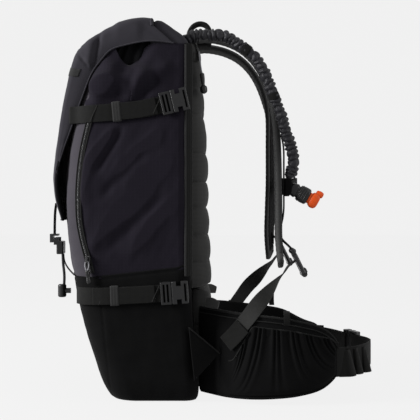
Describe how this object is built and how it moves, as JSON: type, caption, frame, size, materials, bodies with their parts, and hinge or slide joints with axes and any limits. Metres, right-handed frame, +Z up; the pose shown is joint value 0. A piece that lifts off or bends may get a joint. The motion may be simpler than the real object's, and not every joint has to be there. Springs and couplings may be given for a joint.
{
  "type": "avalanche airbag backpack",
  "caption": "Standing ski-touring pack with a roll-over lid, side zip, quilted back pad, shoulder and hip harness, and a gas-fired airbag worked by a strap-mounted pull handle.",
  "frame": {"origin": "middle of the base's flat face, where the pack stands", "axes": "+X is the wearer's forward direction, towards the back pad and harness; +Y is the wearer's left; +Z is up"},
  "size_m": [0.5067, 0.318, 0.5815],
  "materials": {
    "grey_fabric": "matt coated weave",
    "ripstop_fabric": "matt ripstop weave",
    "lid_fabric": "matt weave",
    "boot_fabric": "coarse matt weave",
    "pad_fabric": "brushed mesh over foam",
    "airbag_fabric": "coated nylon",
    "webbing": "flat woven webbing",
    "cord": "braided cord",
    "black_plastic": "fine grain moulded",
    "orange_plastic": "satin moulded",
    "stay_aluminium": "mill finish",
    "cylinder_metal": "satin",
    "brass": "machined",
    "steel": "machined",
    "hose_rubber": "matt"
  },
  "bodies": {
    "pack": {"front_panel": "grey_fabric", "side_panels": "ripstop_fabric", "back_wall": "ripstop_fabric", "boot": "boot_fabric", "base_panel": "boot_fabric", "collar": "ripstop_fabric", "compartment_divider": "ripstop_fabric", "airbag_cover": "lid_fabric", "rear_gussets": "boot_fabric", "frame_sheet": "black_plastic", "frame_stays": "stay_aluminium", "stay_rivets": "stay_aluminium", "back_pad": "pad_fabric", "lumbar_pad": "pad_fabric", "harness_yoke": "webbing", "haul_loop": "webbing", "shoulder_straps": "pad_fabric", "lower_webbing": "webbing", "sternum_rails": "cord", "hip_wings": "ripstop_fabric", "belt_webbing": "webbing", "belt_socket": "black_plastic", "folded_airbag": "airbag_fabric", "inflator": "black_plastic", "gas_cylinder": "cylinder_metal", "valve_head": "brass", "gas_hose": "hose_rubber", "cylinder_straps": "webbing", "trigger_cable": "steel", "hose_sleeve": "ripstop_fabric", "sleeve_collar": "grey_fabric", "trigger_holder": "black_plastic", "closure_adjuster": "black_plastic", "closure_draw_cord": "cord", "closure_tail_cord": "cord", "cord_lock": "black_plastic", "pack_webbing": "webbing", "strap_sockets": "black_plastic", "webbing_keepers": "webbing", "zip_tapes": "webbing"},
    "lid": {"lid_flap": "lid_fabric", "lid_webbing": "webbing", "upper_plugs": "black_plastic", "closure_hook": "black_plastic"},
    "trigger": {"trigger_handle": "orange_plastic"},
    "valve_lever": {"valve_lever": "steel"},
    "firing_pin": {"firing_pin": "steel"},
    "sternum": {"sternum_sliders": "black_plastic", "sternum_webbing": "webbing", "sternum_socket": "black_plastic"},
    "sternum_plug": {"sternum_plug": "black_plastic"},
    "belt_plug": {"belt_plug": "black_plastic"},
    "lower_plug_right": {"lower_plug_right": "black_plastic"},
    "lower_plug_left": {"lower_plug_left": "black_plastic"},
    "ladder_lock_right": {"ladder_lock_right": "black_plastic"},
    "ladder_lock_left": {"ladder_lock_left": "black_plastic"},
    "side_zip_slider": {"side_zip_slider": "black_plastic"},
    "side_zip_puller": {"side_zip_puller": "black_plastic"},
    "back_zip_puller": {"back_zip_puller": "cord"},
    "cord_lock_button": {"cord_lock_button": "black_plastic"}
  },
  "joints": [
    {"name": "lid_hinge", "type": "hinge", "parent": "pack", "child": "lid", "pos_m": [-0.005, 0, 0.568], "axis": [0, 1, 0], "range_deg": [0, 95]},
    {"name": "trigger_pull", "type": "slide", "parent": "pack", "child": "trigger", "axis": [0.8771, 0, -0.4802], "range_m": [0, 0.022]},
    {"name": "valve_lever_turn", "type": "hinge", "parent": "pack", "child": "valve_lever", "pos_m": [0.016, -0.08, 0.375], "axis": [-1, 0, 0], "range_deg": [0, 40]},
    {"name": "firing_pin_slide", "type": "slide", "parent": "pack", "child": "firing_pin", "axis": [0, 1, 0], "range_m": [0, 0.002]},
    {"name": "sternum_slide", "type": "slide", "parent": "pack", "child": "sternum", "axis": [0, 0, 1], "range_m": [-0.012, 0.03]},
    {"name": "sternum_plug_slide", "type": "slide", "parent": "sternum", "child": "sternum_plug", "axis": [0, -1, 0], "range_m": [0, 0.018]},
    {"name": "belt_plug_slide", "type": "slide", "parent": "pack", "child": "belt_plug", "axis": [0.3551, -0.9348, 0], "range_m": [0, 0.022]},
    {"name": "lower_plug_right_slide", "type": "slide", "parent": "pack", "child": "lower_plug_right", "axis": [-0.9976, 0, -0.0698], "range_m": [0, 0.018]},
    {"name": "lower_plug_left_slide", "type": "slide", "parent": "pack", "child": "lower_plug_left", "axis": [-0.9976, 0, -0.0698], "range_m": [0, 0.018]},
    {"name": "ladder_lock_right_tilt", "type": "hinge", "parent": "pack", "child": "ladder_lock_right", "pos_m": [0.203, -0.117, 0.222], "axis": [0, -1, 0], "range_deg": [0, 35]},
    {"name": "ladder_lock_left_tilt", "type": "hinge", "parent": "pack", "child": "ladder_lock_left", "pos_m": [0.203, 0.117, 0.222], "axis": [0, -1, 0], "range_deg": [0, 35]},
    {"name": "side_zip_slide", "type": "slide", "parent": "pack", "child": "side_zip_slider", "axis": [-0.2487, 0.0154, 0.9685], "range_m": [0, 0.03]},
    {"name": "side_zip_puller_swing", "type": "hinge", "parent": "side_zip_slider", "child": "side_zip_puller", "pos_m": [-0.09785, -0.152, 0.2095], "axis": [-0.9563, 0.2924, 0], "range_deg": [0, 80]},
    {"name": "back_zip_puller_swing", "type": "hinge", "parent": "pack", "child": "back_zip_puller", "pos_m": [0.0645, -0.11, 0.518], "axis": [0, -1, 0], "range_deg": [0, 60]},
    {"name": "cord_lock_button_press", "type": "slide", "parent": "pack", "child": "cord_lock_button", "axis": [-1, 0, 0], "range_m": [0, 0.004], "stiffness_N_per_m": 300}
  ],
  "couplings": [
    {"joint": "valve_lever_turn", "follows": "trigger_pull", "rad_per_m": 31.7},
    {"joint": "firing_pin_slide", "follows": "trigger_pull", "ratio": 0.0909}
  ]
}
